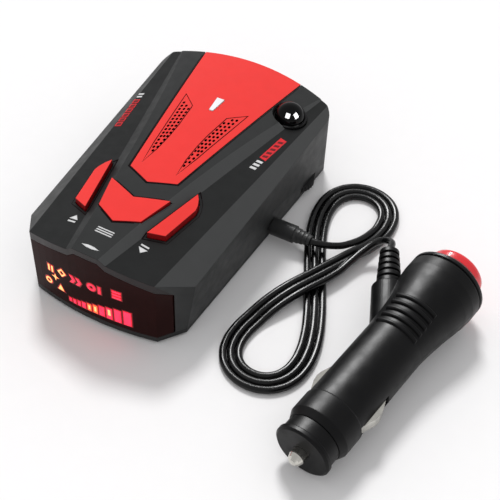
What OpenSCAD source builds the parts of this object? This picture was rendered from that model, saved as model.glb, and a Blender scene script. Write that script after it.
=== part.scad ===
// Dashboard radar detector with its 12 V plug lead, in millimetres.
// +Z is up, the display faces -Y, and the origin is under the middle of the case.

/* [Case] */
// Length of the case, front of the display to the rear edge
case_l = 116; // [110:0.5:122]
// Height of the case at its crown, above the anti-slip pad
case_h = 33.6; // [32:0.2:36]
// Half width of the case at its rear end
rear_x = 36.5; // [35:0.1:38]
// Half width of the case behind the front corners
front_x = 32.9; // [32:0.1:34]
// Half width of the display face
face_x = 24.5; // [23:0.1:26]
// Thickness of the outer walls
wall = 2; // [1.6:0.1:2.4]
// Thickness of the anti-slip pad under the case
pad_t = 1.2; // [0.8:0.1:2]

/* [Controls] */
// Travel of the three keys
key_travel = 0.8; // [0.5:0.1:0.9]
// Height of the two side keys above the case
key_proud = 2.1; // [1.2:0.1:2.4]
// Gap around each key and around the red panel
gap = 0.35; // [0.25:0.05:0.5]
// Diameter of the dome lens
dome_d = 11; // [9:0.5:12]
// Diameter of the volume wheel
wheel_d = 14; // [12:0.5:15]

/* [Vehicle plug] */
// Diameter of the plug's barrel where it guides in the socket
barrel_d = 20.9; // [20.8:0.05:21]
// Length of the plug without its push button
plug_l = 84; // [80:1:90]
// Diameter of the plug's head
head_d = 27; // [26:0.5:29]
// Travel of the push button on the head
switch_travel = 1.8; // [1:0.1:2]
// Travel of the spring-loaded tip
tip_travel = 3; // [2:0.5:3.5]
// Travel of each side contact
side_travel = 0.9; // [0.5:0.1:1]

/* [Cord] */
// Diameter of the power cord
cord_d = 2.6; // [2.4:0.1:3]

/* [Hidden] */
$fn = 48;

big = 400;
floor_z = pad_t + wall;                 // inner floor of the case
seam_z = pad_t + 2;                     // joint between the two shells
top_z = pad_t + case_h;                 // crown of the case
front_y = -case_l / 2;
rear_y = case_l / 2;
roof = 3;                               // wall under the raised centre, which carries the red panel

// Outline of the case seen from above
face_sag = 2.8;                         // bow of the display face
face_corner = [face_x, front_y + face_sag];
side_corner = [front_x, front_y + 14];
rear_r = 6.2;                           // rounding of the rear corners
rear_c = [rear_x - rear_r, rear_y - 10.5];
rear_R = 115;                           // bow of the rear edge
face_R = (face_x * face_x + face_sag * face_sag) / (2 * face_sag);
rear_end = 74;                          // direction in which the corner meets the rear bow

// Surfaces of the top: a crowned centre between two bevels, two sloping flanks and two edge chamfers
long_R = 1800;
cross_R = 150;
function flank_z(x, y) = pad_t + 33.3 - 0.17 * x + 0.022 * y;
function on_flank(x, y) = [x, y, flank_z(x, y)];
flank_pts = [on_flank(0, 0), on_flank(10, 0), on_flank(0, 10)];
bevel_pts = [on_flank(7.8, -57), on_flank(30.6, 53), [5.2, -57, top_z - 1]];
chamfer_pts = [on_flank(face_x, -54), [front_x, -44.6, pad_t + 21.5], on_flank(33.6, 50)];
side_pts = [[31, -44, pad_t], [36.2, 50, pad_t], [front_x, -44, pad_t + 21.5]];

// Controls, right-hand side
key_pts = [[12.2, -39.8], [17.8, -37.5], [20.3, -22.4], [19.9, -20.2], [18.8, -17.6], [17.4, -15.7]];
menu_pts = [[0, -41.5], [8.3, -37.3], [11.7, -24.3], [0, -28.9], [-11.7, -24.3], [-8.3, -37.3]];
panel_front = -20.2;
panel_side = [9.5, -16];
panel_rear = [21.3, 60];
key_stem = [[16.6, -29], [0, -34.5], [-16.6, -29]];
switch_h = 3.7;
key_board_z = 21.5;
board_t = 1.2;
switch_top = key_board_z + board_t + switch_h;
dome_at = [25, 38.5, top_z - 3.4];
badge_pts = [[0.75, 23.5], [1.5, 31], [-1.5, 31], [-0.75, 23.5]];

// Perforated leaves of the red panel, right-hand side
leaf_pts = [
    [6.9, -12.6], [8.9, -1.5], [10, 6.5], [11.4, 15.8], [13.1, 28],
    [7.2, 22.6], [6, 11], [5.7, 4], [5.9, -4],
];
hole_w = 0.85;
hole_h = 1.35;
hole_pitch = 2.2;
hole_rows = 15;

// Display window in the front view
window_pts = [
    [28.4, seam_z], [28.4, pad_t + 21], [face_x, pad_t + 24.6], [7.3, pad_t + 28], [4.5, pad_t + 30.2],
];
led_y = -50.6;                          // front face of the display board

// Inside
board_z = 8.4;
jack_at = [34.5, 8, 5.9];
jack_hole_r = 2.4;
pot_at = [30.6, 36];
wheel_z = 3.7;
wheel_t = 2.3;
post_at = [[26, -38], [25, 46.5], [-25, 46.5], [-26, -38]];
board_post_at = [[17, -40], [19, 33], [-19, 33], [-17, -40]];
key_post_at = [[21.5, -11], [-21.5, -11], [0, -45.5]];
speaker_at = [0, 10];

// Vehicle plug: it lies on its head and on its barrel, nose to the front
plug_at = [87, -75];
plug_turn = 10;                         // the plug lies turned this far clockwise, seen from above
barrel_r = barrel_d / 2;
head_r = head_d / 2;
plug_tilt = asin((head_r - barrel_r) / (plug_l - 10));
neck = 46;                              // where the cable branch leaves the axis
branch_a = 32;
branch_l = 26;
relief_l = 17;
barrel_z0 = 9;                          // where the guiding barrel starts
barrel_z1 = 16.3;                       // where it ends, in front of the side contacts
grip_r = barrel_r - 0.3;                // the handle behind it is a little thinner

// Cord
cord_r = cord_d / 2;
hank_c = [58, -4];                      // crossing of the figure of eight
hank_l = 50;                            // half length of the figure of eight
hank_w = 12.5;                          // half width of the figure of eight
hank_band = 5.2;                        // half width of its bundle of strands
dc_plug_l = 15.5;
lead_path = [[50.3, 8, 5.9], [54, 8.6, 5.6], [58, 11, 4.6], [61.5, 15, 3.4], [64.4, 19.5, 2.4]];
tail_path = [
    [64.6, 0.8, 4.2], [66.4, 7, 4.6], [68.7, 13.2, 5.8],
    [72.4, 17.6, 8.6], [76.9, 16.6, 11.6], [78.87, 10.12, 13.9],
];

function closed_both(pts) = concat(pts, [for (i = [len(pts) - 1 : -1 : 0]) [-pts[i][0], pts[i][1]]]);
function unit(v) = v / norm(v);
function arc(c, r, a0, a1, n) =
    [for (k = [0 : n]) let (a = a0 + (a1 - a0) * k / n) c + r * [cos(a), sin(a)]];
face_a = asin(face_x / face_R);
// Right half of the outline, front to rear, moved in by i
function half_outline(i) = concat(
    arc([0, front_y + face_R], face_R - i, -90 + face_a * 0.03, -90 + face_a - 0.12 * i, 7),
    [side_corner + i * [-0.99, 0.35]],
    arc(rear_c, rear_r - i, 0, rear_end, 6),
    arc([0, rear_y - rear_R], rear_R - i, rear_end + 1, 89.5, 9));

module outline(i = 0) { polygon(closed_both(half_outline(i))); }

// Everything below the plane through three points, moved down by i
module below(pts, i = 0) {
    n0 = cross(pts[1] - pts[0], pts[2] - pts[0]);
    n = unit(n0[2] < 0 ? -n0 : n0);
    translate(pts[0] - n * i)
        rotate([0, acos(n[2]), atan2(n[1], n[0])])
            translate([-big / 2, -big / 2, -big]) cube(big);
}

// Everything inside an upright side plane that leans outwards as it rises
module inside_side(i = 0) {
    n0 = cross(side_pts[1] - side_pts[0], side_pts[2] - side_pts[0]);
    n = unit(n0[0] < 0 ? -n0 : n0);
    translate(side_pts[0] - n * i)
        rotate([0, acos(n[2]), atan2(n[1], n[0])])
            translate([-big / 2, -big / 2, -big]) cube(big);
}

// Everything under the crowned centre, moved down by i
module under_crown(i = 0) {
    translate([0, 0, top_z - long_R])
        rotate([0, 90, 0])
            rotate_extrude($fn = 900)
                intersection() {
                    translate([long_R - cross_R, 0]) circle(cross_R - i, $fn = 360);
                    translate([0, -60]) square([long_R + 1, 120]);
                }
}

module both_sides() {
    children();
    mirror([1, 0, 0]) children();
}

// The case as one solid, with its walls moved in by i and its raised centre by j
module case_solid(i = 0, j = 0) {
    intersection() {
        translate([0, 0, pad_t + i]) linear_extrude(case_h + 2) outline(i);
        inside_side(i);
        mirror([1, 0, 0]) inside_side(i);
        below(chamfer_pts, i);
        mirror([1, 0, 0]) below(chamfer_pts, i);
        union() {
            intersection() {
                below(flank_pts, i);
                mirror([1, 0, 0]) below(flank_pts, i);
            }
            intersection() {
                below(bevel_pts, i);
                mirror([1, 0, 0]) below(bevel_pts, i);
                under_crown(j);
            }
        }
    }
}

module cavity() { case_solid(wall, roof); }

// The space between the outer walls, moved in by i
module within_sides(i) {
    intersection() {
        linear_extrude(20) outline(i);
        inside_side(i);
        mirror([1, 0, 0]) inside_side(i);
    }
}

module prism(pts, z0 = -1, z1 = 60) { translate([0, 0, z0]) linear_extrude(z1 - z0) polygon(pts); }

// The front-view outline of the window, run through the front of the case, with its sides moved out by g
module window_prism(g = 0) {
    translate([0, -44, 0]) rotate([90, 0, 0]) linear_extrude(20) polygon(grown(closed_both(window_pts), g));
}

// A counter-clockwise outline with every side moved out by g
function side_normal(a, b) = let (u = unit(b - a)) [u[1], -u[0]];
function grown(pts, g) = [for (i = [0 : len(pts) - 1]) let (
    m = side_normal(pts[(i + len(pts) - 1) % len(pts)], pts[i]),
    n = side_normal(pts[i], pts[(i + 1) % len(pts)])) pts[i] + g * (m + n) / max(0.3, 1 + m * n)];

function panel_outline(g = 0) = grown(closed_both([[0.01, panel_front], panel_side, panel_rear]), g);

module tube(r_out, r_in, h) {
    difference() {
        cylinder(r = r_out, h = h);
        translate([0, 0, -1]) cylinder(r = r_in, h = h + 2);
    }
}

module posts_at(points, z0, z1, r) {
    for (p = points) translate([p[0], p[1], z0]) cylinder(r = r, h = z1 - z0);
}

// ---- Case ----

module top_shell() color("#3c3e3d") {
    difference() {
        union() {
            difference() {
                case_solid();
                cavity();
                translate([-big / 2, -big / 2, -big + seam_z]) cube(big);
                window_prism();
                // Recess that the red panel lies in
                difference() {
                    prism(panel_outline(gap), top_z - 12, top_z + 5);
                    under_crown(1.45);
                }
            }
            intersection() {
                cavity();
                union() {
                    posts_at(post_at, seam_z + 0.2, top_z, 2.8);
                    posts_at(key_post_at, key_board_z + board_t, top_z, 2);
                    translate([speaker_at[0], speaker_at[1], 24]) tube(15.2, 13.8, 12);
                }
            }
        }
        posts_at(post_at, 0, seam_z + 10, 1.1);
        posts_at(key_post_at, key_board_z, key_board_z + 5, 0.8);
        // Openings for the keys
        both_sides() prism(grown(key_pts, gap), 24, 40);
        prism(grown(menu_pts, gap), 24, 40);
        // Sound openings under the two leaves
        both_sides() prism(leaf_pts, 24, 40);
        // Seat of the dome lens and its ring
        translate([dome_at[0], dome_at[1], 20]) cylinder(r = dome_d / 2 + 1, h = 20);
        // Slot of the volume wheel
        translate([pot_at[0], pot_at[1], wheel_z - 0.35])
            cylinder(r = wheel_d / 2 + 0.5, h = wheel_t + 0.7);
        // Hole of the power jack
        translate([jack_at[0] - 6, jack_at[1], jack_at[2]])
            rotate([0, 90, 0]) cylinder(r = jack_hole_r, h = 12);
        // Opening of the rear lens
        translate([-14, rear_y - 12, pad_t + 11]) cube([34, 20, 9]);
    }
}

module bottom_shell() color("#353736") {
    difference() {
        union() {
            intersection() {
                case_solid();
                translate([-big / 2, -big / 2, 0]) cube([big, big, seam_z]);
            }
            posts_at(board_post_at, floor_z - 0.1, board_z, 2.4);
            // Locating rib just inside the wall of the upper shell
            intersection() {
                difference() {
                    within_sides(wall + 0.25);
                    within_sides(wall + 1.35);
                }
                translate([-big / 2, -30, seam_z - 0.1]) cube([big, 32, 2.1]);
            }
        }
        posts_at(board_post_at, floor_z + 0.6, board_z + 1, 0.9);
        posts_at(post_at, -1, seam_z + 1, 1.35);
        posts_at(post_at, -1, pad_t + 1, 2.6);
    }
}

module anti_slip_pad() color("#181818") {
    difference() {
        linear_extrude(pad_t) polygon(closed_both([[20, -38], [23, -35], [26, 36], [23, 39]]));
        for (y = [-30 : 12 : 30]) translate([-18, y, -1]) cube([36, 1.2, 1.5]);
    }
}

module top_panel() color("#f03c38") {
    difference() {
        intersection() {
            prism(panel_outline(), top_z - 12, top_z + 5);
            translate([0, 0, 1]) linear_extrude(60) outline();
            difference() {
                under_crown();
                under_crown(1.4);
            }
        }
        both_sides() {
            // Fine groove around each leaf
            difference() {
                prism(grown(leaf_pts, 0.15), top_z - 8, top_z + 5);
                prism(grown(leaf_pts, -0.2), top_z - 9, top_z + 6);
                under_crown(0.4);
            }
        }
        for (s = [-1, 1], h = leaf_holes(s)) translate([s * h[0], h[1], top_z - 8]) leaf_hole();
        prism(grown(badge_pts, 0.15), top_z - 0.9, top_z + 5);
    }
}

// Oblong hole of a leaf
module leaf_hole() {
    d = (hole_h - hole_w) / 2;
    for (k = [-d, d]) translate([0, k, 0]) cylinder(d = hole_w, h = 12, $fn = 20);
    translate([-hole_w / 2, -d, 0]) cube([hole_w, 2 * d, 12]);
}

// Rows of holes on one side s: one hole at the tip of the leaf, then two in a row, then three
function leaf_col(y, i) =
    let (a = 6.3 + 0.09 * max(0, y - 5), b = 8.05 + 0.125 * y) a + (b - a) * i / 2;
function leaf_holes(s) = [for (j = [0 : hole_rows - 1], i = [0 : 2])
    let (y0 = -6.4 + j * hole_pitch, x = leaf_col(y0, j == 0 ? 1 : i), y = y0 + 0.5 * s * (x - 8.2))
    if ((j == 0 ? i == 1 : y0 > 2 || i != 1) && y < 14.7 + 0.915 * x) [x, y]];

module badge() color("#e4e4e6") {
    prism(badge_pts, top_z - 0.85, top_z + 0.1);
}

module display_window() color([0.16, 0.1, 0.1, 0.8]) {
    intersection() {
        difference() {
            case_solid();
            case_solid(wall, roof);
        }
        window_prism(-0.08);
        translate([0, -45 - big / 2, 0]) cube([56, big, 80], center = true);
    }
}

module rear_lens() color([0.25, 0.05, 0.06, 0.8]) {
    intersection() {
        difference() {
            case_solid(0.3, roof);
            case_solid(wall, roof);
        }
        translate([-13.8, rear_y - 12, pad_t + 11.2]) cube([33.6, 20, 8.6]);
    }
}

module dome_lens() color("#0c0c0e") {
    translate(dome_at) difference() {
        union() {
            sphere(d = dome_d);
            translate([0, 0, -2.4]) cylinder(d = dome_d, h = 2.4);
        }
        sphere(d = dome_d - 2.4);
        translate([0, 0, -3]) cylinder(d = dome_d - 2.4, h = 3);
        translate([0, 0, -12.4]) cylinder(d = dome_d + 2, h = 10);
    }
}

module dome_ring() color("#1b1b1d") {
    translate([dome_at[0], dome_at[1], dome_at[2] - 2.4]) difference() {
        union() {
            cylinder(r = dome_d / 2 + 0.7, h = 2.2);
            translate([0, 0, 1.4]) cylinder(r = dome_d / 2 + 0.9, h = 0.9);
        }
        translate([0, 0, -1]) cylinder(r = dome_d / 2 + 0.08, h = 6);
    }
}

// ---- Controls ----

// A side key: its cap stands proud of the flank, a flange holds it in and a stem reaches its switch
module side_key() {
    intersection() {
        prism(key_pts, 28, 40);
        below(flank_pts, -key_proud);
    }
    intersection() {
        prism(grown(key_pts, 0.9), 20, 40);
        difference() {
            below(flank_pts, wall + 0.25);
            below(flank_pts, wall + 1.25);
        }
        translate([11.5, -60, 0]) cube([20, 80, 60]);
    }
    translate([key_stem[0][0], key_stem[0][1], switch_top + key_travel + 0.15]) cylinder(r = 1.6, h = 2);
}

module up_button() color("#f03c38") mirror([1, 0, 0]) side_key();

module down_button() color("#f03c38") side_key();

module menu_button() color("#f03c38") {
    intersection() {
        prism(menu_pts, top_z - roof - 1.2, 40);
        under_crown(-0.3);
    }
    intersection() {
        prism([for (p = menu_pts) p * 0.98 + [0, -0.6]], 20, 40);
        difference() {
            under_crown(roof + 0.25);
            under_crown(roof + 1.25);
        }
    }
    translate([key_stem[1][0], key_stem[1][1], switch_top + key_travel + 0.15]) cylinder(r = 1.6, h = 3.4);
}

module volume_wheel() color("#101012") {
    translate([pot_at[0], pot_at[1], wheel_z]) {
        difference() {
            cylinder(d = wheel_d, h = wheel_t);
            for (a = [0 : 12 : 348]) rotate([0, 0, a]) translate([wheel_d / 2 + 0.25, 0, -1])
                cylinder(r = 0.5, h = 5, $fn = 16);
        }
        cylinder(r = 0.9, h = board_z - wheel_z - 0.3);
    }
}

// ---- Fasteners ----

module screw(r, l, head) {
    difference() {
        union() {
            translate([0, 0, -0.01]) cylinder(r = r, h = l);
            translate([0, 0, -0.9]) cylinder(r = head, h = 0.9);
        }
        for (a = [0, 90]) rotate([0, 0, a])
            translate([-head * 0.6, -0.2, -1.5]) cube([head * 1.2, 0.4, 1.1]);
    }
}

module case_screws() color("silver") {
    for (p = post_at) translate([p[0], p[1], pad_t + 0.95]) screw(1.05, 8, 2.4);
}

module board_screws() color("silver") {
    for (p = board_post_at) translate([p[0], p[1], board_z + board_t])
        mirror([0, 0, 1]) screw(0.85, 3.6, 1.7);
}

module key_screws() color("silver") {
    for (p = key_post_at) translate([p[0], p[1], key_board_z]) screw(0.75, 4, 1.5);
}

// ---- Electronics ----

module main_board() color("#1d5c33") {
    translate([0, 0, board_z]) difference() {
        linear_extrude(board_t) polygon(closed_both([[21, -45], [21, -33], [29, -32], [32.4, 41]]));
        for (p = board_post_at) translate([p[0], p[1], -1]) cylinder(r = 0.95, h = 4);
    }
}

module display_board() color("#1d5c33") {
    translate([-20.5, led_y, 5]) cube([41, 1.2, 20]);
    // Header that carries it on the main board
    translate([-10, led_y + 1.2, board_z + board_t]) cube([20, 6, 3]);
}

// Round indicators in the upper rows and ten bars that grow to the right
module led_array() color("#ff3048") {
    translate([0, led_y, 0]) rotate([90, 0, 0]) {
        for (p = lamp_at) translate([p[0], p[1], 0]) cylinder(r = 1.5, h = 1.4);
        for (k = [0 : 9]) translate([bar_x(k), 5.8, 0]) cube([bar_w(k), bar_h(k), 1.4]);
    }
}

lamp_at = [
    [-16, 18.4], [-17, 11.6], [-13.6, 15.2], [-10.6, 18.6], [-11.6, 11.2], [-4.6, 18.4], [3, 18.8], [11, 19],
];
function bar_w(k) = k < 3 ? 0.8 : k < 6 ? 1.3 : 2.1;
function bar_h(k) = 1.2 + 0.52 * k;
function bar_x(k) = -8.6 + (k < 3 ? 1.6 * k : k < 6 ? 4.8 + 2.1 * (k - 3) : 11.2 + 3 * (k - 6));

module key_board() color("#1d5c33") {
    translate([0, 0, key_board_z]) difference() {
        linear_extrude(board_t) polygon(closed_both([
            [3, -48], [12, -42], [21, -38], [24.5, -9], [18, -9], [17, -20], [8, -20]]));
        for (p = key_post_at) translate([p[0], p[1], -1]) cylinder(r = 0.85, h = 4);
    }
}

module key_switches() color("#9a9a9e") {
    for (p = key_stem) translate([p[0], p[1], key_board_z + board_t]) {
        translate([-3, -3, 0]) cube([6, 6, 3]);
        translate([0, 0, 2.9]) cylinder(r = 1.6, h = switch_h - 2.9);
    }
}

module speaker() color("#4a4a4c") {
    translate([speaker_at[0], speaker_at[1], 24.3]) {
        cylinder(r = 13.6, h = 4.2);
        translate([0, 0, -2]) cylinder(r = 8, h = 2.01);
    }
}

// Waveguide horn of the receiver, open to the rear, with its detector block at the throat
module horn_antenna() color("#b4b6b8") {
    z0 = board_z + board_t;
    translate([-3, 19, z0]) difference() {
        linear_extrude(12) polygon([[-6, 0], [6, 0], [13, 31], [-13, 31]]);
        translate([0, 0, 1.2]) linear_extrude(9.6) polygon([[-4.8, 3], [4.8, 3], [12.1, 35], [-12.1, 35]]);
    }
    translate([-11, 8.5, z0]) cube([16, 10.5, 9]);
}

module laser_sensor() color("#26262a") {
    translate([12.5, 35, board_z + board_t]) {
        cube([6.5, 8, 10]);
        translate([3.2, 8, 6.5]) rotate([-90, 0, 0]) cylinder(r = 2.6, h = 1.6);
    }
}

module light_pipe() color("#d8dce0") {
    translate([dome_at[0], dome_at[1], board_z + board_t]) {
        cylinder(r = 1.9, h = dome_at[2] - board_z - board_t - 3);
        translate([-2.6, -2.6, 0]) cube([5.2, 5.2, 2]);
    }
}

module volume_pot() color("#2b2b30") {
    translate([pot_at[0] - 6, pot_at[1] - 4.5, wheel_z + wheel_t + 0.3]) difference() {
        cube([7.6, 9, board_z - wheel_z - wheel_t - 0.3]);
        translate([6, 4.5, -1]) cylinder(r = 0.95, h = 8);
    }
}

module dc_jack() color("#1a1a1c") {
    translate(jack_at) rotate([0, -90, 0]) difference() {
        union() {
            translate([-2.5, -3.5, 2.6]) cube([4.99, 7, 10]);
            translate([0, 0, -0.2]) cylinder(r = jack_hole_r - 0.1, h = 3);
        }
        translate([0, 0, -1]) cylinder(r = 1.75, h = 10);
    }
}

// ---- Power cord ----

// Straight barrel plug with a stepped strain relief
module dc_plug() color("#141414") {
    translate(jack_at) rotate([0, 90, 0]) {
        translate([0, 0, -8]) cylinder(r = 1.7, h = 9);
        translate([0, 0, 0.5]) cylinder(r = 3.3, h = 9);
        translate([0, 0, 9.4]) cylinder(r1 = 2.9, r2 = 1.9, h = dc_plug_l - 9);
        for (k = [0 : 2]) translate([0, 0, 10.6 + 1.6 * k]) cylinder(r = 2.8 - 0.25 * k, h = 0.8);
    }
}

// A round cord swept along a list of points
function along(p, i) = unit(p[min(i + 1, len(p) - 1)] - p[max(i - 1, 0)]);
function across(t) = unit(cross(t, abs(t[2]) > 0.9 ? [0, 1, 0] : [0, 0, 1]));
module swept(p, r, sides = 8) {
    n = len(p);
    rings = [for (i = [0 : n - 1]) let (t = along(p, i), u = across(t), v = cross(u, t))
        [for (k = [0 : sides - 1]) p[i] + r * (cos(360 * k / sides) * u + sin(360 * k / sides) * v)]];
    skin = [for (i = [0 : n - 2], k = [0 : sides - 1], h = [0, 1])
        let (a = i * sides + k, b = i * sides + (k + 1) % sides)
        h == 0 ? [a, b, b + sides] : [a, b + sides, a + sides]];
    caps = [for (k = [1 : sides - 2], h = [0, 1])
        let (e = (n - 1) * sides) h == 0 ? [0, k + 1, k] : [e, e + k, e + k + 1]];
    polyhedron([for (ring = rings) each ring], concat(skin, caps));
}

module cord_lead() color("#141414") swept(lead_path, cord_r);

module cord_tail() color("#141414") swept(tail_path, cord_r);

// One lobe of the figure of eight and its mirror image, moved out by g
function lobe(g) = [for (a = [-82 : 8 : 82]) let (
    c = [hank_w * sin(2 * a), hank_l * cos(a)],
    d = [2 * hank_w * cos(2 * a), -hank_l * sin(a)],
    m = unit([-d[1], d[0]])) c + g * m];

module lobe_band() {
    difference() {
        polygon(lobe(hank_band));
        polygon(lobe(-hank_band));
    }
}

module cord_hank() color("#141414") {
    translate([hank_c[0], hank_c[1], 0]) {
        linear_extrude(3) {
            lobe_band();
            mirror([0, 1, 0]) lobe_band();
        }
        cylinder(r = 6.4, h = 5.4);
    }
}

// ---- Vehicle plug ----

// Places children on the plug's axis: +Z runs from the nose to the head
module on_plug() {
    translate([plug_at[0], plug_at[1], barrel_r + 0.05])
        rotate([plug_tilt - 90, 0, -plug_turn]) children();
}

// Places children on the axis of the cable branch, +Z outwards
module on_branch(l = 0) {
    on_plug() translate([0, 0, neck]) rotate([0, -branch_a, 0]) translate([0, 0, l]) children();
}

module plug_body() color("#161616") {
    difference() {
        union() {
            on_plug() rotate_extrude($fn = 64) polygon([
                [0, 6.5], [9.3, 6.5], [barrel_r, barrel_z0], [barrel_r, barrel_z1],
                [grip_r, barrel_z1 + 0.4], [grip_r, 50], [barrel_r + 0.2, 56], [barrel_r + 1.1, 63],
                [head_r - 0.4, 72], [head_r, 76], [head_r, plug_l - 4], [0, plug_l - 4]]);
            hull() {
                on_branch(4) cylinder(r = 6, h = 1);
                on_branch(branch_l - 2) cylinder(r = 5.8, h = 2);
            }
            // Grip ridges around the upper side
            on_plug() for (k = [0 : 4]) translate([0, 0, 50 + 2.8 * k]) intersection() {
                rotate_extrude($fn = 64) translate([grip_r + 0.05 + 0.29 * k, 0]) circle(r = 0.75, $fn = 16);
                translate([-7.2, -20, -1]) cube([14.4, 20, 2]);
            }
        }
        on_plug() {
            // Bore of the nose, the fuse and its spring
            translate([0, 0, -1]) cylinder(r = 4.2, h = 47);
            // Slots of the side contacts
            for (s = [-1, 1]) translate([s * (9.5 - side_travel / 2), 0, 24])
                cube([3.6 + side_travel, 4.4, 14.8], center = true);
            // Well of the push button
            translate([0, 0, plug_l - 9.6 - switch_travel]) cylinder(r = 10.2, h = 20);
        }
    }
}

module plug_collar() color("#1f1f21") {
    on_plug() translate([0, 0, plug_l - 3.9]) rotate_extrude($fn = 64) polygon([
        [10.2, 0], [head_r - 0.7, 0], [head_r - 0.7, 0.5], [head_r, 0.9], [head_r, 1.9],
        [head_r - 2, 3.9], [10.2, 3.9]]);
}

module plug_button() color("#e8142c") {
    on_plug() translate([0, 0, plug_l - 9]) {
        rotate_extrude($fn = 64) polygon([
            [0, 0], [9.9, 0], [9.9, 9 + 3.4], [9.7, 9 + 4.3],
            [9.1, 9 + 5], [7.9, 9 + 5.5], [5.4, 9 + 5.9], [0, 9 + 6.1]]);
    }
}

module side_contact(s) color("silver") {
    on_plug() translate([s * 9.3, 0, 24]) rotate([90, 0, 0]) linear_extrude(3.8, center = true)
        polygon([for (p = [[-1.2, -7], [0.2, -7], [2.1, -2], [2.4, 0], [2.1, 2], [0.2, 7], [-1.2, 7]])
            [s * p[0], p[1]]]);
}

module side_contact_left() side_contact(-1);

module side_contact_right() side_contact(1);

module nose_nut() color("#111113") {
    on_plug() difference() {
        union() {
            rotate_extrude($fn = 64)
                polygon([[0, 0], [9, 0], [9.7, 0.6], [9.7, 1.8], [9.1, 2.2], [9.1, 6.4], [0, 6.4]]);
            // Threaded sleeve in the nose bore
            translate([0, 0, 6.3]) cylinder(r = 4.15, h = 4.7);
        }
        translate([0, 0, -1]) cylinder(r = 2.6, h = 14);
    }
}

module tip_pin() color("#c8c8cc") {
    on_plug() rotate_extrude($fn = 48) polygon([
        [0, -4.6], [1.2, -4.5], [2.1, -3.7], [2.54, -2.4], [2.54, 11.2], [3.9, 11.5],
        [3.9, 12.6], [0, 12.6]]);
}

module tip_spring() color("silver") {
    on_plug() translate([0, 0, tip_travel + 35.2]) tube(3.6, 2.8, 5);
}

module fuse() color("#d9dde0") {
    on_plug() translate([0, 0, tip_travel + 13.2]) {
        translate([0, 0, 4]) cylinder(r = 2.8, h = 13.5);
        cylinder(r = 3.2, h = 4.2);
        translate([0, 0, 17]) cylinder(r = 3.2, h = 4.4);
    }
}

module strain_relief() color("#161616") {
    on_branch(branch_l) {
        cylinder(r1 = 3.6, r2 = 2.6, h = relief_l);
        for (k = [0 : 5]) translate([0, 0, 1.2 + 2.7 * k]) cylinder(r = 4.3 - 0.18 * k, h = 1.6);
    }
}

top_shell();
bottom_shell();
anti_slip_pad();
top_panel();
badge();
display_window();
rear_lens();
dome_lens();
dome_ring();
up_button();
menu_button();
down_button();
volume_wheel();
case_screws();
main_board();
board_screws();
display_board();
led_array();
key_board();
key_screws();
key_switches();
speaker();
horn_antenna();
laser_sensor();
light_pipe();
volume_pot();
dc_jack();
dc_plug();
cord_lead();
cord_hank();
cord_tail();
strain_relief();
plug_body();
plug_collar();
plug_button();
side_contact_left();
side_contact_right();
nose_nut();
tip_pin();
tip_spring();
fuse();
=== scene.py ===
"""A dash-top radar detector with its 12 V plug lead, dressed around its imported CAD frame, in metres."""
import math

import bmesh
import bpy
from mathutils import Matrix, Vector
from mathutils.bvhtree import BVHTree


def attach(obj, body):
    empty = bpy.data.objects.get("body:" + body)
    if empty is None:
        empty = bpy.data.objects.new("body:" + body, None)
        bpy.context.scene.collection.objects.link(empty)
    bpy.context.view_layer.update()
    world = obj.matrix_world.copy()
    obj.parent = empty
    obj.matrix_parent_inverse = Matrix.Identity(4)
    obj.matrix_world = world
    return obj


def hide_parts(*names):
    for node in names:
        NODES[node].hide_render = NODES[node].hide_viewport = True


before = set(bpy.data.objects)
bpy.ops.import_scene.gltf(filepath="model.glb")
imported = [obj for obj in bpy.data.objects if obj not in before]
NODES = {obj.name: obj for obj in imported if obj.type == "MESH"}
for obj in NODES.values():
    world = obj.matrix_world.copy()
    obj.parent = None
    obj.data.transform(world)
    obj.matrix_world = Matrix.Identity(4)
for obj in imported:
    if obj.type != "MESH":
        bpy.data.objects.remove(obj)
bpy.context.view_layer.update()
MM = 0.001
MERGE = 0.000002

# ---- Camera ----

TARGET = Vector((0.01497, -0.00608, 0.0162))
AZIMUTH = math.radians(29.9)
ELEVATION = math.radians(45.0)
DISTANCE = 0.3735
LENS = 75.5
SHIFT_X = 0.088
SHIFT_Y = -0.08


def make_camera():
    """The camera, at its angle and distance from the target."""
    back = Vector((
        math.sin(AZIMUTH) * math.cos(ELEVATION),
        -math.cos(AZIMUTH) * math.cos(ELEVATION),
        math.sin(ELEVATION),
    ))
    data = bpy.data.cameras.new("camera")
    data.lens = LENS
    data.shift_x = SHIFT_X
    data.shift_y = SHIFT_Y
    data.clip_start = 0.01
    camera = bpy.data.objects.new("camera", data)
    camera.location = TARGET + back * DISTANCE
    camera.rotation_euler = (-back).to_track_quat("-Z", "Y").to_euler()
    bpy.context.scene.collection.objects.link(camera)
    bpy.context.scene.camera = camera


# ---- Power cord ----

CORD_D = 2.6 * MM
LEAD_PATH = [(50.3, 8, 5.9), (54, 8.6, 5.6), (58, 11, 4.6), (61.5, 15, 3.4)]
TAIL_PATH = [
    (64.6, 0.8, 4.2), (66.4, 7, 4.6), (68.7, 13.2, 5.8),
    (72.4, 17.6, 8.6), (76.9, 16.6, 11.6), (78.87, 10.12, 13.9),
]
HANK_CENTRE = (58, -4)
HANK_LENGTH = 50
HANK_WIDTH = 12.5
HANK_START = -62
HANK_END = 263 + 720
HANK_SPREAD = 3.9
HANK_STEP = 10
FLOOR_GAP = 0.03
CROSSING = 270
HUMP_HEIGHT = 2.75
HUMP_FLAT = 12
HUMP_SLOPE = 24


def smooth(t):
    """A share from 0 to 1 that starts and ends gently."""
    t = max(0.0, min(1.0, t))
    return t * t * (3 - 2 * t)


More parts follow.
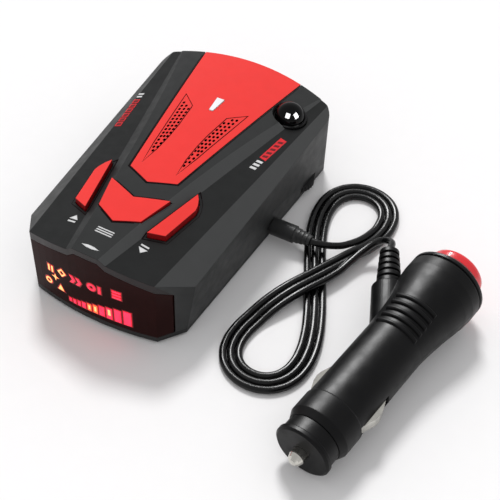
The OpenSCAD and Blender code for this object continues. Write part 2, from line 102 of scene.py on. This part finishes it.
def hank_point(angle):
    """A point of the figure of eight, in millimetres.

    Later turns lie beside earlier ones, and each turn goes over its crossing once, in a hump.
    """
    a = math.radians(angle)
    x, y = -HANK_WIDTH * math.sin(2 * a), HANK_LENGTH * math.cos(a)
    dx, dy = -2 * HANK_WIDTH * math.cos(2 * a), -HANK_LENGTH * math.sin(a)
    speed = math.hypot(dx, dy)
    share = (angle - HANK_START) / (HANK_END - HANK_START)
    offset = HANK_SPREAD * (1 - 2 * share)
    from_crossing = abs((angle - CROSSING + 180) % 360 - 180)
    hump = HUMP_HEIGHT * (1 - smooth((from_crossing - HUMP_FLAT) / HUMP_SLOPE))
    return (
        HANK_CENTRE[0] + x - dy / speed * offset,
        HANK_CENTRE[1] + y + dx / speed * offset,
        CORD_D / MM / 2 + FLOOR_GAP + hump,
    )


def make_cord():
    """The whole cord as one round curve, from the barrel plug through the hank to the plug's relief."""
    turns = range(HANK_START + HANK_STEP, HANK_END + 1, HANK_STEP)
    points = LEAD_PATH + [hank_point(a) for a in turns] + TAIL_PATH
    curve = bpy.data.curves.new("cord", "CURVE")
    curve.dimensions = "3D"
    curve.bevel_depth = CORD_D / 2
    curve.bevel_resolution = 5
    curve.resolution_u = 6
    curve.use_fill_caps = True
    spline = curve.splines.new("BEZIER")
    spline.bezier_points.add(len(points) - 1)
    for knot, point in zip(spline.bezier_points, points):
        knot.co = Vector(point) * MM
        knot.handle_left_type = knot.handle_right_type = "AUTO"
    cord = bpy.data.objects.new("power_cord", curve)
    bpy.context.scene.collection.objects.link(cord)
    curve.materials.append(CORD)
    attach(cord, "housing")
    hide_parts("cord_lead", "cord_hank", "cord_tail")


# ---- Materials ----

def linear(code):
    """Linear colour of a display colour written as six hexadecimal digits."""
    parts = [int(code[k:k + 2], 16) / 255 for k in (0, 2, 4)]
    return tuple(((c + 0.055) / 1.055) ** 2.4 if c > 0.04045 else c / 12.92 for c in parts)


def scaled(colour, factor):
    """A colour made lighter or darker, opaque."""
    return (*[min(1.0, c * factor) for c in colour[:3]], 1.0)


RAMP_ENDS = (0.3, 0.7)
COAT_ROUGHNESS = 0.12
BUMP_STRENGTH = 0.6
EDGE_RADIUS = 0.4 * MM
EDGE_SAMPLES = 6


class Surface:
    """A material of one Principled shader, with helpers that wire procedural detail to it."""

    def __init__(self, name, metallic=0.0, coat=0.0, specular=0.5):
        self.material = bpy.data.materials.new(name)
        self.material.use_nodes = True
        self.tree = self.material.node_tree
        self.shader = self.tree.nodes["Principled BSDF"]
        self.shader.inputs["Metallic"].default_value = metallic
        self.shader.inputs["Coat Weight"].default_value = coat
        self.shader.inputs["Coat Roughness"].default_value = COAT_ROUGHNESS
        self.shader.inputs["Specular IOR Level"].default_value = specular
        self.place = self.tree.nodes.new("ShaderNodeTexCoord").outputs["Object"]

    def wire(self, output, target):
        """Links one socket to another."""
        self.tree.links.new(output, target)

    def noise(self, size, detail=3.0, stretch=(1, 1, 1)):
        """Noise whose features are about size metres across."""
        mapping = self.tree.nodes.new("ShaderNodeMapping")
        mapping.inputs["Scale"].default_value = stretch
        self.wire(self.place, mapping.inputs["Vector"])
        texture = self.tree.nodes.new("ShaderNodeTexNoise")
        texture.inputs["Scale"].default_value = 1 / size
        texture.inputs["Detail"].default_value = detail
        self.wire(mapping.outputs["Vector"], texture.inputs["Vector"])
        return texture.outputs["Fac"]

    def ramp(self, fac, low, high):
        """Turns noise into a colour between low and high."""
        node = self.tree.nodes.new("ShaderNodeValToRGB")
        for stop, place, colour in zip(node.color_ramp.elements, RAMP_ENDS, (low, high)):
            stop.position = place
            stop.color = colour
        self.wire(fac, node.inputs["Fac"])
        return node.outputs["Color"]

    def colour(self, code, spread=0.08, size=0.006):
        """A base colour that varies by spread over patches of a size."""
        tint = linear(code)
        shade = self.ramp(self.noise(size, 4.0), scaled(tint, 1 - spread), scaled(tint, 1 + spread))
        self.wire(shade, self.shader.inputs["Base Color"])
        return self

    def rough(self, low, high, size=0.004, stretch=(1, 1, 1)):
        """A roughness that wanders between low and high."""
        grey = self.ramp(self.noise(size, 3.0, stretch), (low, low, low, 1), (high, high, high, 1))
        self.wire(grey, self.shader.inputs["Roughness"])
        return self

    def grain(self, size, depth, stretch=(1, 1, 1), edge=0.0):
        """Fine relief over the surface, with edges that catch the light as if rounded to edge metres."""
        bump = self.tree.nodes.new("ShaderNodeBump")
        bump.inputs["Distance"].default_value = depth
        bump.inputs["Strength"].default_value = BUMP_STRENGTH
        self.wire(self.noise(size, 2.0, stretch), bump.inputs["Height"])
        self.wire(bump.outputs["Normal"], self.shader.inputs["Normal"])
        if edge > 0:
            worn = self.tree.nodes.new("ShaderNodeBevel")
            worn.samples = EDGE_SAMPLES
            worn.inputs["Radius"].default_value = edge
            self.wire(worn.outputs["Normal"], bump.inputs["Normal"])
        return self


def moulded(name, code, low=0.42, high=0.56, grain=0.00035, depth=0.00003, spread=0.08, **shader):
    """Moulded plastic: slightly uneven colour and gloss, and a fine spark-eroded grain."""
    surface = Surface(name, **shader).colour(code, spread).rough(low, high)
    return surface.grain(grain, depth, edge=EDGE_RADIUS).material


def metal(name, code, low=0.2, high=0.38, spread=0.1):
    """Bare or plated metal with fine turning marks."""
    surface = Surface(name, metallic=1.0).colour(code, spread, 0.002)
    return surface.rough(low, high, 0.0006, (1, 1, 6)).grain(0.0002, 0.000008, (1, 1, 8)).material


def glow(name, code, strength):
    """A lit segment of the display, a little uneven from its diode."""
    surface = Surface(name).colour(code, 0.1, 0.0012).rough(0.4, 0.6)
    hot = surface.ramp(surface.noise(0.0016), scaled(linear(code), 0.75), scaled(linear(code), 1.15))
    surface.wire(hot, surface.shader.inputs["Emission Color"])
    surface.shader.inputs["Emission Strength"].default_value = strength
    surface.material.cycles.emission_sampling = "NONE"
    return surface.material


def clear(name, code, alpha, low=0.05, high=0.12):
    """Tinted see-through plastic."""
    surface = Surface(name, specular=0.12).colour(code, 0.15, 0.01)
    surface.rough(low, high, 0.01).grain(0.004, 0.00001)
    surface.shader.inputs["Alpha"].default_value = alpha
    return surface.material


CASE_CENTRE = moulded("case_centre", "2a2b2b", specular=0.3, spread=0.03)
# Shaded and lit copies of the case plastic: painted shade on the flanks and the left bevels, a painted
# highlight on the other bevels.
CASE_FLANK_SHADE = moulded("case_flank_painted_shade", "1a1b1b", 0.46, 0.6, specular=0.3, spread=0.03)
CASE_EDGE_HIGHLIGHT = moulded("case_edge_painted_highlight", "404141", 0.4, 0.52, specular=0.3, spread=0.03)
CASE_LEFT_EDGE_SHADE = moulded("case_left_edge_painted_shade", "262727", 0.44, 0.56, specular=0.3, spread=0.03)
CASE_SIDE = moulded("case_side", "2e2f2f", 0.46, 0.58, specular=0.3, spread=0.03)
CASE_FRONT = moulded("case_front", "1a1314", 0.3, 0.42, specular=0.3)
CASE_BASE = moulded("case_base", "222323", 0.5, 0.64, specular=0.3, spread=0.03)
PAD = moulded("pad_rubber", "161616", 0.72, 0.9, 0.0007, 0.00012)
RED = moulded("red_satin", "eb3430", 0.36, 0.48, 0.0003, 0.000015, 0.02, specular=0.35)
# Near black: painted shade in the panel's gap and holes, and in the lines round the red parts.
RECESS_SHADE = moulded("panel_gap", "12080a", 0.6, 0.75, specular=0.1)
# A shaded copy of the red: painted shade down the sides of the keys.
RED_SIDE_SHADE = moulded("red_side_painted_shade", "8c0c10", 0.4, 0.52, 0.0003, 0.000015, 0.06, specular=0.3)
WINDOW = moulded("smoked_window", "271110", 0.14, 0.22, 0.004, 0.00001, 0.12, specular=0.03)
REAR_LENS = clear("red_filter", "5a060c", 0.985)
DOME = moulded("dome_gloss", "060607", 0.02, 0.05, 0.003, 0.000002, 0.2, specular=0.12)
RING = moulded("ring_satin", "0c0c0d", 0.3, 0.42, specular=0.2)
WHEEL = moulded("wheel_rubber", "131314", 0.55, 0.7, 0.0004, 0.00005)
STEEL = metal("screw_steel", "9c9ea2")
NICKEL = metal("contact_nickel", "c6c4bd", 0.14, 0.26)
ZINC = metal("horn_zinc", "9a9ca0", 0.38, 0.55)
BOARD = moulded("board_green", "1b4a2c", 0.35, 0.5, 0.0012, 0.00003, 0.22)
GREY_PLASTIC = moulded("switch_grey", "6d6e72")
SPEAKER = moulded("speaker_black", "232325", 0.5, 0.7)
SENSOR = moulded("sensor_black", "1c1c20", 0.2, 0.3)
PIPE = clear("light_pipe_clear", "c9ced4", 0.55)
POT = moulded("pot_black", "1d1d21")
JACK = moulded("jack_black", "131314", 0.4, 0.5)
CORD = moulded("cord_pvc", "080809", 0.2, 0.32, 0.0012, 0.00002, 0.15, specular=0.26)
PLUG = moulded("plug_black", "0a0a0b", 0.34, 0.46, 0.0005, 0.00002, 0.15, specular=0.14)
COLLAR = moulded("collar_black", "0b0b0c", 0.24, 0.34, specular=0.2)
BUTTON = moulded("button_gloss", "dd0f1e", 0.14, 0.22, 0.003, 0.00002, 0.06, coat=0.4)
GLASS = clear("fuse_glass", "c4ccd0", 0.4)
PLATE = moulded("badge_silver", "f2f3f5", 0.24, 0.34, 0.0006, 0.00001, 0.06)
INK_WHITE = moulded("ink_white", "d9d9d9", 0.5, 0.6, 0.0004, 0.00001, 0.06)
INK_RED = moulded("ink_red", "d8202a", 0.45, 0.55, 0.0004, 0.00001, 0.08)
INK_DARK = moulded("ink_dark", "6a0d12", 0.45, 0.55, 0.0004, 0.00001, 0.12)
LAMP = moulded("led_epoxy", "4a0c10", 0.2, 0.3, spread=0.15)
SIGN = glow("sign_red", "ff2c4c", 1.0)
BAR_PINK = glow("bar_pink", "ff2c50", 1.0)
BAR_WARM = glow("bar_warm", "ff6a38", 1.0)
SIGN_WARM = glow("sign_warm", "ffb870", 1.1)
GLOW_IN = glow("glow_inner", "d0061c", 0.45)
GLOW_OUT = glow("glow_outer", "6a060c", 0.25)

FLOOR = moulded("floor_paper", "f6f5f5", 0.85, 0.95, 0.002, 0.00001, 0.004, specular=0.2)

NODE_MATERIALS = {
    "bottom_shell": CASE_BASE, "anti_slip_pad": PAD, "case_screws": STEEL,
    "badge": PLATE, "display_window": WINDOW, "rear_lens": REAR_LENS,
    "dome_lens": DOME, "dome_ring": RING, "volume_wheel": WHEEL,
    "main_board": BOARD, "board_screws": STEEL, "display_board": BOARD, "led_array": LAMP,
    "key_board": BOARD, "key_screws": STEEL, "key_switches": GREY_PLASTIC,
    "speaker": SPEAKER, "horn_antenna": ZINC, "laser_sensor": SENSOR, "light_pipe": PIPE,
    "volume_pot": POT, "dc_jack": JACK, "dc_plug": JACK,
    "cord_lead": CORD, "cord_hank": CORD, "cord_tail": CORD, "strain_relief": PLUG,
    "plug_body": PLUG, "plug_collar": COLLAR, "plug_button": BUTTON,
    "side_contact_left": NICKEL, "side_contact_right": NICKEL,
    "nose_nut": PLUG, "tip_pin": NICKEL, "tip_spring": STEEL, "fuse": GLASS,
}


def paint(node, *materials):
    """Gives a node its material slots, in order."""
    slots = NODES[node].data.materials
    slots.clear()
    for material in materials:
        slots.append(material)


def zone(node, choose):
    """Gives each face of a node the material slot that choose(normal, centre in millimetres) returns."""
    for face in NODES[node].data.polygons:
        face.material_index = choose(face.normal, face.center / MM)


# ---- Case ----

FLANK_NORMAL = Vector((0.1672, -0.0217, 0.9857))
FLANK_MATCH = 0.012
CROWN_RISE = 0.97
BEVEL_RISE = 0.4
LEFT_SHADE_TILT = -0.2
FRONT_Y = -52
FRONT_X = 30
FRONT_RISE = 0.6
TOP_RISE = 0.7
PANEL_REAR = 54
SHELL_SLOTS = (CASE_CENTRE, CASE_FLANK_SHADE, CASE_EDGE_HIGHLIGHT, CASE_SIDE, CASE_FRONT, CASE_LEFT_EDGE_SHADE)


def shell_zone(normal, centre):
    """The tone of a face of the upper shell, by which way it faces: crown, flank, front, bevel or side.
    The flanks and the bevels that face left get painted shade, and the other bevels a painted highlight.
    """
    mirrored = Vector((abs(normal.x), normal.y, normal.z))
    # Painted shade: the flanks take a darker tone than the crown.
    if (mirrored - FLANK_NORMAL).length < FLANK_MATCH:
        tone = CASE_FLANK_SHADE
    elif normal.z > CROWN_RISE:
        tone = CASE_CENTRE
    elif centre.y < FRONT_Y and normal.z < FRONT_RISE and abs(centre.x) < FRONT_X:
        tone = CASE_FRONT
    # Bevels: painted shade on those that face left, a painted highlight on the rest.
    elif normal.z > BEVEL_RISE:
        tone = CASE_LEFT_EDGE_SHADE if normal.x < LEFT_SHADE_TILT else CASE_EDGE_HIGHLIGHT
    else:
        tone = CASE_SIDE
    return SHELL_SLOTS.index(tone)


def panel_zone(normal, centre):
    """The panel is red on top and along its rear edge, with near-black painted shade in its gap and holes.
    """
    return 0 if normal.z > TOP_RISE or centre.y > PANEL_REAR else 1


def key_zone(normal, centre):
    """A key is bright on top, with painted shade in a deeper red down its sides."""
    return 0 if normal.z > TOP_RISE else 1


def dress_case():
    """Materials for every CAD node, by zone where a node has more than one."""
    for node, material in NODE_MATERIALS.items():
        paint(node, material)
    paint("top_shell", *SHELL_SLOTS)
    zone("top_shell", shell_zone)
    paint("top_panel", RED, RECESS_SHADE)
    zone("top_panel", panel_zone)
    for key in ("up_button", "down_button", "menu_button"):
        paint(key, RED, RED_SIDE_SHADE)
        zone(key, key_zone)


# ---- New pieces ----

def add_piece(name, build, materials):
    """Turns a bmesh into a piece that rides on the case."""
    bmesh.ops.recalc_face_normals(build, faces=build.faces)
    mesh = bpy.data.meshes.new(name)
    build.to_mesh(mesh)
    build.free()
    for material in materials:
        mesh.materials.append(material)
    piece = bpy.data.objects.new(name, mesh)
    bpy.context.scene.collection.objects.link(piece)
    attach(piece, "housing")


# ---- Painted shade lines round the red parts ----

SHADE_LINE_IN = 0.12
SHADE_LINE_OUT = {"top_panel": 0.8, "menu_button": 0.7, "up_button": 0.5, "down_button": 0.5}
SHADE_LINE_LIFT = 0.03
SHADE_LINE_SINK = 0.15
SHADE_LINE_STEP = 2.5
SHORTEST_RUN = 0.05
SMALLEST_TURN = 0.02
SHARPEST_MITRE = 0.5
ABOVE_CASE = 60


def rim_loops(node):
    """The closed edges of a node's upper faces, each as points in order, in millimetres."""
    build = bmesh.new()
    build.from_mesh(NODES[node].data)
    bmesh.ops.remove_doubles(build, verts=build.verts, dist=MERGE)
    rim = {e for e in build.edges if len([f for f in e.link_faces if f.normal.z > TOP_RISE]) == 1}
    loops = []
    while rim:
        edge = rim.pop()
        first, last = edge.verts
        loop = [first.co / MM, last.co / MM]
        while last != first:
            onward = [e for e in last.link_edges if e in rim]
            if not onward:
                break
            rim.discard(onward[0])
            last = onward[0].other_vert(last)
            loop.append(last.co / MM)
        loops.append([Vector(p[:2]) for p in loop[:-1]])
    build.free()
    return loops


def loop_area(loop):
    """The area inside a closed outline, positive if it runs anticlockwise."""
    return sum(a.x * b.y - b.x * a.y for a, b in zip(loop, loop[1:] + loop[:1])) / 2


def plain_outline(node):
    """The outer rim of a node, anticlockwise, without points that lie on a straight run."""
    loop = max(rim_loops(node), key=lambda points: abs(loop_area(points)))
    if loop_area(loop) < 0:
        loop.reverse()
    kept = []
    for k, point in enumerate(loop):
        before = kept[-1] if kept else loop[k - 1]
        after = loop[(k + 1) % len(loop)]
        run = point - before
        if run.length > SHORTEST_RUN and abs(run.angle_signed(after - point, 0)) > SMALLEST_TURN:
            kept.append(point)
    return kept


def divided(loop, step):
    """The same outline with extra points, so that it can follow a curved surface."""
    points = []
    for a, b in zip(loop, loop[1:] + loop[:1]):
        parts = math.ceil((b - a).length / step)
        points += [a.lerp(b, k / parts) for k in range(parts)]
    return points


def grown(loop, by):
    """An anticlockwise outline moved outwards by a width, mitred at its corners."""
    moved = []
    for k, point in enumerate(loop):
        way_in = (point - loop[k - 1]).normalized()
        way_out = (loop[(k + 1) % len(loop)] - point).normalized()
        side = Vector((way_in.y + way_out.y, -way_in.x - way_out.x)).normalized()
        share = max(SHARPEST_MITRE, side.dot(Vector((way_in.y, -way_in.x))))
        moved.append(point + side * by / share)
    return moved


def shell_surface():
    """The upper shell as a tree for casting rays at."""
    shell = bmesh.new()
    shell.from_mesh(NODES["top_shell"].data)
    tree = BVHTree.FromBMesh(shell)
    shell.free()
    return tree


def shade_line_station(build, tree, inner, outer):
    """The four corners of the painted shade line at one point, or None where the shell has no top there.
    """
    hit, normal = tree.ray_cast(Vector((outer.x, outer.y, ABOVE_CASE)) * MM, Vector((0, 0, -1)))[:2]
    if hit is None or normal.z < TOP_RISE:
        return None
    low, high = hit.z - SHADE_LINE_SINK * MM, hit.z + SHADE_LINE_LIFT * MM
    corners = [(inner, low), (outer, low), (outer, high), (inner, high)]
    return [build.verts.new((p.x * MM, p.y * MM, z)) for p, z in corners]


def make_shade_line(node):
    """A dark line of painted shade on the shell round a red part, where it sits in its recess."""
    outline = divided(plain_outline(node), SHADE_LINE_STEP)
    tree = shell_surface()
    build = bmesh.new()
    pairs = zip(grown(outline, SHADE_LINE_IN), grown(outline, SHADE_LINE_OUT[node]))
    stations = [shade_line_station(build, tree, inner, outer) for inner, outer in pairs]
    for here, there in zip(stations, stations[1:] + stations[:1]):
        if here and there:
            for k in range(4):
                n = (k + 1) % 4
                build.faces.new((here[k], here[n], there[n], there[k]))
        elif here or there:
            build.faces.new(here or there)
    add_piece(node + "_gap", build, [RECESS_SHADE])


# ---- Plates on the case ----

PAD_T = 1.2
FACE_R = 108.6
FACE_Y = -58 + FACE_R
CROWN_TOP = 34.8
CROWN_ACROSS = 300
CROWN_ALONG = 3600
FLANK_TOP = 33.3
FLANK_FALL = 0.17
FLANK_CLIMB = 0.022


def on_face(point, lift):
    """The place in space of a display point (x, height above the case bottom), in millimetres."""
    x, height = point
    radius = FACE_R + lift
    return (x, FACE_Y - math.sqrt(radius * radius - x * x), height + PAD_T)


def on_crown(point, lift):
    """The place of a point (x, y) on the crown of the case."""
    x, y = point
    return (x, y, CROWN_TOP - x * x / CROWN_ACROSS - y * y / CROWN_ALONG + lift)


def on_flank(point, lift):
    """The place of a point (x, y) on a flank of the case."""
    x, y = point
    return (x, y, PAD_T + FLANK_TOP - FLANK_FALL * abs(x) + FLANK_CLIMB * y + lift)


def slab(name, patches, place, low, high, materials):
    """Thin closed plates: each patch is (outline, material index), and place puts a point at a lift."""
    build = bmesh.new()
    for outline, material in patches:
        bottom = [build.verts.new(Vector(place(p, low)) * MM) for p in outline]
        top = [build.verts.new(Vector(place(p, high)) * MM) for p in outline]
        faces = [build.faces.new(top), build.faces.new(bottom[::-1])]
        for k in range(len(outline)):
            n = (k + 1) % len(outline)
            faces.append(build.faces.new((bottom[k], bottom[n], top[n], top[k])))
        for face in faces:
            face.material_index = material
    add_piece(name, build, materials)


def rect(x, y, w, h):
    """A rectangle about (x, y)."""
    return [(x - w / 2, y - h / 2), (x + w / 2, y - h / 2), (x + w / 2, y + h / 2), (x - w / 2, y + h / 2)]


def ring(x, y, outer, inner, parts=16, squash=1.0):
    """A ring as a run of four-sided patches."""
    patches = []
    for k in range(parts):
        turns = [2 * math.pi * (k + step) / parts for step in (0, 0, 1, 1)]
        radii = (inner, outer, outer, inner)
        patches.append([(x + r * math.cos(a), y + squash * r * math.sin(a)) for r, a in zip(radii, turns)])
    return patches


# ---- Display ----

# Signal bars, from left to right: middle x, middle height, width and height.
BARS = [
    (-8.4, 5.2, 0.8, 1.5), (-6.6, 5.3, 0.9, 1.9), (-4.7, 5.5, 1.0, 2.2), (-2.7, 5.8, 1.3, 2.7),
    (-0.4, 6.1, 1.5, 3.2), (2.0, 6.5, 1.6, 3.8), (4.6, 6.9, 1.9, 4.5), (7.5, 7.2, 2.0, 5.2),
    (10.7, 7.5, 2.3, 5.9), (14.3, 7.8, 2.6, 6.6),
]
WARM_BARS = (4, 5)
# The bright cores of some bars: how far up the bar, and their share of its height.
BAR_CORES = {4: (0.0, 0.6), 5: (0.0, 0.6), 7: (0.1, 0.55)}
SIGN_LOW = 0.08
SIGN_HIGH = 0.14
GLOW_THICK = 0.02
GLOW_LAYERS = (("display_glow_outer", 0.62, 0.0, GLOW_OUT), ("display_glow_inner", 0.3, 0.04, GLOW_IN))
SIGN_LIGHTS = [SIGN, BAR_PINK, BAR_WARM, SIGN_WARM]


def star(x, z, g):
    """A four-pointed star, grown by g."""
    points = []
    for k in range(8):
        wide, tall = (1.5 + g, 1.7 + g) if k % 2 == 0 else (0.5 + g / 2, 0.5 + g / 2)
        turn = math.pi * k / 4
        points.append((x + wide * math.cos(turn), z + tall * math.sin(turn)))
    return points


def triangle(x, z, g):
    """A triangle that points up, grown by g."""
    return [(x - 1.3 - 1.5 * g, z - 1.3 - g), (x + 1.3 + 1.5 * g, z - 1.3 - g), (x, z + 1.4 + 1.5 * g)]


def chevron(x, z, g):
    """A pointer to the right, as its lower and upper halves, grown by g."""
    lower = [(x - 0.6 - g, z - 1.6 - g), (x + 0.4 + g, z - 1.6 - g), (x + 1.6 + g, z), (x + 0.6 - g, z)]
    upper = [(px, 2 * z - pz) for px, pz in reversed(lower)]
    return [lower, upper]


def sign_patches(g=0.0):
    """Generic signs of the two upper rows, each grown by g: the warm ones, then the pink ones."""
    warm = [rect(x, 16.1, 0.66 + 2 * g, 2.9 + 2 * g) for x in (-16.85, -15.35)]
    warm += ring(-17.7, 9.1, 1.4 + g, 0.8 - g)
    warm.append(star(-14.3, 12.8, g))
    warm += ring(-11, 17, 1.8 + g, 1.05 - g, 4, 1.05)
    warm.append(triangle(-12.3, 8.8, g))
    pink = [half for x in (-6.9, -4.4) for half in chevron(x, 16.6, g)]
    pink += ring(1.3, 17.3, 1.6 + g, 0.9 - g)
    pink.append(rect(4.4, 17.3, 0.75 + 2 * g, 3.2 + 2 * g))
    pink += [rect(10.9, z, 3.0 + 2 * g, 0.7 + 2 * g) for z in (16.8, 18.2, 19.6)]
    return warm, pink


def make_glow():
    """The soft red glow round the signs and bars, in two layers."""
    for name, spread, low, material in GLOW_LAYERS:
        warm, pink = sign_patches(spread)
        bars = [rect(x, z, w + 2 * spread, h + 2 * spread) for x, z, w, h in BARS]
        halos = [(outline, 0) for outline in warm + pink + bars]
        slab(name, halos, on_face, low, low + GLOW_THICK, [material])


def make_signs():
    """Lit signs and the ten rising bars of the signal meter."""
    warm, pink = sign_patches()
    patches = [(outline, 3) for outline in warm] + [(outline, 0) for outline in pink]
    for k, (x, z, w, h) in enumerate(BARS):
        patches.append((rect(x, z, w, h), 2 if k in WARM_BARS else 1))
        if k in BAR_CORES:
            rise, share = BAR_CORES[k]
            patches.append((rect(x, z + h * rise, w / 2, h * share), 3))
    slab("display_signs", patches, on_face, SIGN_LOW, SIGN_HIGH, SIGN_LIGHTS)


# ---- Prints on the case ----

PRINT_LOW = 0.01
PRINT_HIGH = 0.06
SLOT_LOW = 0.05
SLOT_HIGH = 0.09
INKS = [INK_WHITE, INK_RED, INK_DARK]
KEY_MARK_AT = (13.7, -44.7)
MENU_LINES = (-47.75, -46.8, -45.85)
LOZENGE = [(-3.4, -54.6), (-1.2, -55.2), (1.2, -55.2), (3.4, -54.6), (1.2, -54.0), (-1.2, -54.0)]
RIGHT_LINE = ((25.8, 7.5), (28.5, 26.8))
LEFT_LINE = ((-28.1, 3.2), (-30.6, 24.6))


def arrow(x, y, way):
    """An arrow with a bar across its foot; way is 1 for up and -1 for down."""
    head = [(x - 1.7, y - 0.1 * way), (x + 1.7, y - 0.1 * way), (x, y + 2.0 * way)]
    return [(head[::way], 0), (rect(x, y - 1.2 * way, 3.0, 0.7), 0)]


def make_key_marks():
    """Marks in front of the keys: up, down, three lines for the menu key, and a lozenge at the front."""
    x, y = KEY_MARK_AT
    for name, place, patches in (
        ("mark_up", on_flank, arrow(-x, y, 1)),
        ("mark_down", on_flank, arrow(x, y, -1)),
        ("mark_menu", on_crown, [(rect(0.4, line_y, 6.4, 0.5), 0) for line_y in MENU_LINES]),
        ("mark_front", on_crown, [(LOZENGE, 0)]),
    ):
        slab(name, patches, place, PRINT_LOW, PRINT_HIGH, [INK_WHITE])


def along_line(line, share, across):
    """A point at a share of the way along a line, moved across to the right of the way."""
    start, end = line
    dx, dy = end[0] - start[0], end[1] - start[1]
    length = math.hypot(dx, dy)
    return (start[0] + dx * share + dy / length * across, start[1] + dy * share - dx / length * across)


def strip(line, first, last, half_width, lean):
    """A patch between two shares of a line; lean slants its ends."""
    return [
        along_line(line, first - lean, -half_width), along_line(line, first + lean, half_width),
        along_line(line, last + lean, half_width), along_line(line, last - lean, -half_width),
    ]


def right_marks():
    """Three white dashes and a red strip, and the dark slots in the strip."""
    plates = [(strip(RIGHT_LINE, s, s + 0.06, 1.1, 0.015), 0) for s in (0.0, 0.1, 0.2)]
    plates.append((strip(RIGHT_LINE, 0.32, 1.0, 1.3, 0.0), 1))
    slots = [(strip(RIGHT_LINE, s, s + 0.06, 0.8, 0.02), 2) for s in (0.38, 0.5, 0.62, 0.74, 0.86)]
    return plates, slots


def left_marks():
    """Six red plates and two white dashes, and the dark slots in the plates."""
    starts = [0.02 + 0.134 * k for k in range(6)]
    plates = [(strip(LEFT_LINE, s, s + 0.112, 1.15, 0.012), 1) for s in starts]
    plates += [(strip(LEFT_LINE, s, s + 0.045, 1.0, 0.012), 0) for s in (0.86, 0.94)]
    slots = [(strip(LEFT_LINE, s + 0.022, s + 0.09, 0.75, 0.012), 2) for s in starts]
    return plates, slots


def make_flank_marks():
    """Plain dashes and slotted strips beside the panel."""
    for side, (plates, slots) in (("right", right_marks()), ("left", left_marks())):
        name = "flank_marks_" + side
        slab(name, plates, on_flank, PRINT_LOW, PRINT_HIGH, INKS)
        slab(name + "_slots", slots, on_flank, SLOT_LOW, SLOT_HIGH, INKS)


# ---- Light and floor ----

FLOOR_HALF = 3
WORLD_STRENGTH = 0.66
SUN_FROM = (-0.42, 0.62, 1.0)
SUN_ENERGY = 1.8
SUN_ANGLE = 14
DOME_AT = (0.025, 0.0385, 0.031)
PANE_ANGLES = ((2, 40), (84, 30))
PANE_DISTANCE = 0.6
PANE_SIZE = (0.36, 0.42)
PANE_POWER = 66
SOFTBOX_AT = (-0.28, 0.32, 0.48)
SOFTBOX_AIM = (0.09, -0.035, 0.012)
SOFTBOX_SIZE = (0.3, 0.3)
SOFTBOX_POWER = 11
SOFTBOX_NODES = ("plug_body", "plug_collar", "strain_relief", "nose_nut", "plug_button", "dc_plug")


def make_floor():
    """A plain pale floor."""
    h = FLOOR_HALF
    mesh = bpy.data.meshes.new("floor")
    mesh.from_pydata([(-h, -h, 0), (h, -h, 0), (h, h, 0), (-h, h, 0)], [], [(0, 1, 2, 3)])
    mesh.materials.append(FLOOR)
    floor = bpy.data.objects.new("floor", mesh)
    bpy.context.scene.collection.objects.link(floor)


def linked_light(name, place, aim, size, power, receivers):
    """A rectangular light that only shows as a reflection, in a few objects."""
    data = bpy.data.lights.new(name, "AREA")
    data.shape = "RECTANGLE"
    data.size, data.size_y = size
    data.energy = power
    lamp = bpy.data.objects.new(name, data)
    lamp.location = place
    lamp.rotation_euler = (Vector(place) - Vector(aim)).to_track_quat("Z", "Y").to_euler()
    lamp.visible_diffuse = False
    lamp.light_linking.receiver_collection = receivers
    bpy.context.scene.collection.objects.link(lamp)


def collected(name, objects):
    """A collection of objects, for a light to be linked to."""
    group = bpy.data.collections.new(name)
    for item in objects:
        group.objects.link(item)
    return group


def from_angles(centre, azimuth, elevation, distance):
    """A place seen from centre at an azimuth and elevation in degrees."""
    a, e = math.radians(azimuth), math.radians(elevation)
    way = Vector((math.sin(a) * math.cos(e), -math.cos(a) * math.cos(e), math.sin(e)))
    return Vector(centre) + way * distance


def make_window_lights():
    """Two window-like lights that only the dome lens mirrors."""
    lens = collected("dome_only", [NODES["dome_lens"]])
    for azimuth, elevation in PANE_ANGLES:
        place = from_angles(DOME_AT, azimuth, elevation, PANE_DISTANCE)
        linked_light("pane", place, DOME_AT, PANE_SIZE, PANE_POWER, lens)


def make_plug_light():
    """A softbox behind and to the left, mirrored along the plug and the cord only."""
    pieces = [NODES[node] for node in SOFTBOX_NODES] + [bpy.data.objects["power_cord"]]
    shiny = collected("plug_and_cord", pieces)
    linked_light("plug_softbox", SOFTBOX_AT, SOFTBOX_AIM, SOFTBOX_SIZE, SOFTBOX_POWER, shiny)


def make_world():
    """Even white light from all round."""
    world = bpy.data.worlds.new("studio")
    world.use_nodes = True
    back = world.node_tree.nodes["Background"]
    back.inputs["Color"].default_value = (0.99, 0.99, 1.0, 1)
    back.inputs["Strength"].default_value = WORLD_STRENGTH
    bpy.context.scene.world = world


def make_sun():
    """A broad soft key light from the back left."""
    sun = bpy.data.objects.new("key", bpy.data.lights.new("key", "SUN"))
    sun.data.energy = SUN_ENERGY
    sun.data.angle = math.radians(SUN_ANGLE)
    sun.rotation_euler = Vector(SUN_FROM).to_track_quat("Z", "Y").to_euler()
    sun.visible_glossy = False
    bpy.context.scene.collection.objects.link(sun)


make_camera()
make_cord()
dress_case()
for part in SHADE_LINE_OUT:
    make_shade_line(part)
make_glow()
make_signs()
make_key_marks()
make_flank_marks()
make_floor()
make_world()
make_sun()
make_window_lights()
make_plug_light()
bpy.context.scene.view_settings.view_transform = "Standard"
